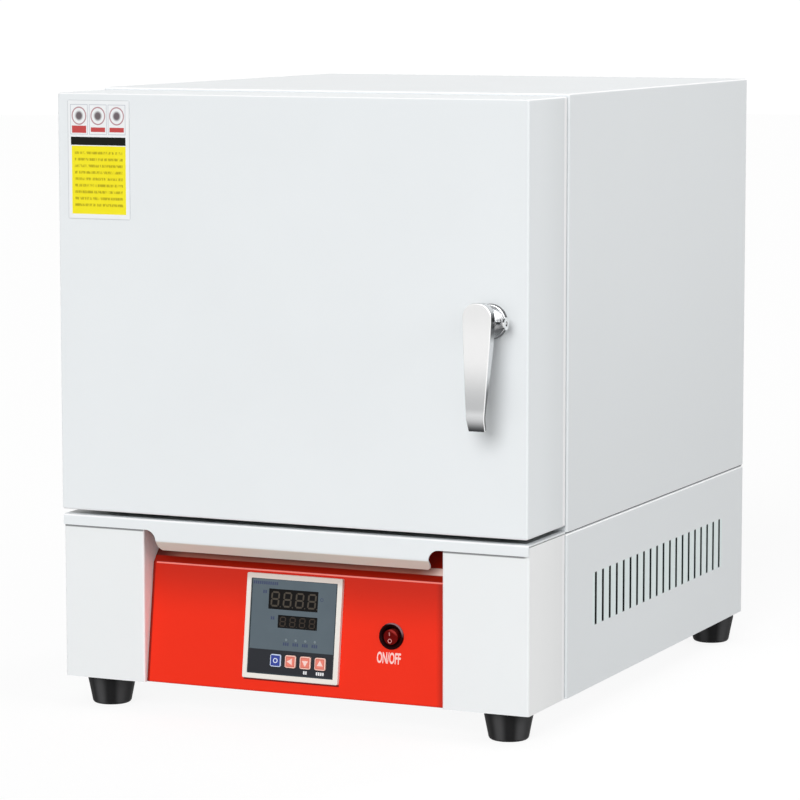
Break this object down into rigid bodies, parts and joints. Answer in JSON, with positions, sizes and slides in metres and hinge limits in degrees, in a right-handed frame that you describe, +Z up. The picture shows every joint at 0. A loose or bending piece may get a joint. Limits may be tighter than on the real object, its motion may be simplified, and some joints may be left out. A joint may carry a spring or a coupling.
{
  "type": "muffle furnace",
  "caption": "Bench-top annealing furnace: light grey box with a side-hung door and chromed lever on a base with a red control panel.",
  "frame": {"origin": "on the floor, under the middle of the overall box of the furnace with its door shut", "axes": "+X to the right seen from the front, +Y to the back, +Z up"},
  "size_m": [0.4772, 0.6451, 0.572],
  "materials": {
    "shell_paint": "light grey powder coat, satin",
    "panel_paint": "bright red enamel, semi-gloss",
    "bare_steel": "plain sheet, matt",
    "zinc_steel": "zinc plated, satin",
    "bush_brass": "turned, satin",
    "lever_chrome": "cast and chromed, satin to bright",
    "foot_rubber": "moulded, matt",
    "bezel_ivory": "moulded, fine texture",
    "face_grey": "grey-blue foil with a near-black lower band",
    "housing_black": "moulded, matt",
    "window_dark": "dark filter, glossy",
    "lamp_pale": "clear pale lens",
    "key_blue": "soft matt",
    "key_salmon": "soft matt",
    "switch_black": "glossy",
    "rocker_red": "translucent dark red",
    "fibre_board": "vacuum-formed ceramic fibre, chalky",
    "fibre_blanket": "loose ceramic fibre",
    "heater_wire": "oxidised resistance wire",
    "white_ceramic": "fired, unglazed",
    "sink_aluminium": "extruded",
    "block_cream": "moulded",
    "label_card": "printed card, blank"
  },
  "bodies": {
    "furnace_body": {"outer_casing": "shell_paint", "base_side_right": "shell_paint", "base_side_left": "shell_paint", "deck_plate": "bare_steel", "front_frame": "bare_steel", "latch_keeper": "bare_steel", "base_floor": "bare_steel", "pillar_right": "shell_paint", "pillar_left": "shell_paint", "visor_sheet": "shell_paint", "control_panel": "panel_paint", "rubber_feet": "foot_rubber", "foot_screws": "zinc_steel", "controller_bezel": "bezel_ivory", "controller_face": "face_grey", "controller_housing": "housing_black", "display_windows": "window_dark", "indicator_lamps": "lamp_pale", "switch_body": "switch_black", "switch_blades": "bush_brass", "hinge_leaves_frame": "zinc_steel", "hinge_pins": "zinc_steel", "mouth_blocks": "fibre_board", "muffle_sides": "fibre_board", "muffle_roof_floor": "fibre_board", "muffle_rear": "fibre_board", "insulation_sides": "fibre_blanket", "insulation_layers": "fibre_blanket", "insulation_rear": "fibre_blanket", "heating_elements": "heater_wire", "terminal_insulators": "white_ceramic", "hearth_plate": "white_ceramic", "thermocouple": "white_ceramic", "rear_cover": "shell_paint", "base_rear_panel": "shell_paint", "casing_screws": "zinc_steel", "cable_gland": "housing_black", "heat_sink": "sink_aluminium", "solid_state_relay": "housing_black", "terminal_block": "block_cream"},
    "door": {"door_shell": "shell_paint", "door_back_plate": "bare_steel", "door_insulation": "fibre_board", "door_plug": "fibre_board", "door_seal": "fibre_blanket", "door_screws": "zinc_steel", "door_label": "label_card", "hinge_leaves_door": "zinc_steel", "hinge_screws_door": "zinc_steel", "handle_boss": "lever_chrome", "spindle_bush": "bush_brass"},
    "lever": {"lever_handle": "lever_chrome", "clamp_screw": "lever_chrome", "spindle": "zinc_steel", "latch_tongue": "zinc_steel"},
    "rocker": {"switch_rocker": "rocker_red"},
    "set_button": {"set_key": "key_blue"},
    "left_button": {"left_key": "key_salmon"},
    "down_button": {"down_key": "key_salmon"},
    "up_button": {"up_key": "key_salmon"}
  },
  "joints": [
    {"name": "door_hinge", "type": "hinge", "parent": "furnace_body", "child": "door", "pos_m": [-0.2388, -0.19635, 0.3776], "axis": [0, 0, -1], "range_deg": [0, 120]},
    {"name": "lever_turn", "type": "hinge", "parent": "door", "child": "lever", "pos_m": [0.1975, -0.29595, 0.3765], "axis": [0, 1, 0], "range_deg": [0, 90]},
    {"name": "rocker_tip", "type": "hinge", "parent": "furnace_body", "child": "rocker", "pos_m": [0.095, -0.26714, 0.08734], "axis": [-1, 0, 0], "range_deg": [0, 16]},
    {"name": "set_button_press", "type": "slide", "parent": "furnace_body", "child": "set_button", "axis": [0, 0.9911, -0.1333], "range_m": [0, 0.0008], "stiffness_N_per_m": 1500},
    {"name": "left_button_press", "type": "slide", "parent": "furnace_body", "child": "left_button", "axis": [0, 0.9911, -0.1333], "range_m": [0, 0.0008], "stiffness_N_per_m": 1500},
    {"name": "down_button_press", "type": "slide", "parent": "furnace_body", "child": "down_button", "axis": [0, 0.9911, -0.1333], "range_m": [0, 0.0008], "stiffness_N_per_m": 1500},
    {"name": "up_button_press", "type": "slide", "parent": "furnace_body", "child": "up_button", "axis": [0, 0.9911, -0.1333], "range_m": [0, 0.0008], "stiffness_N_per_m": 1500}
  ]
}
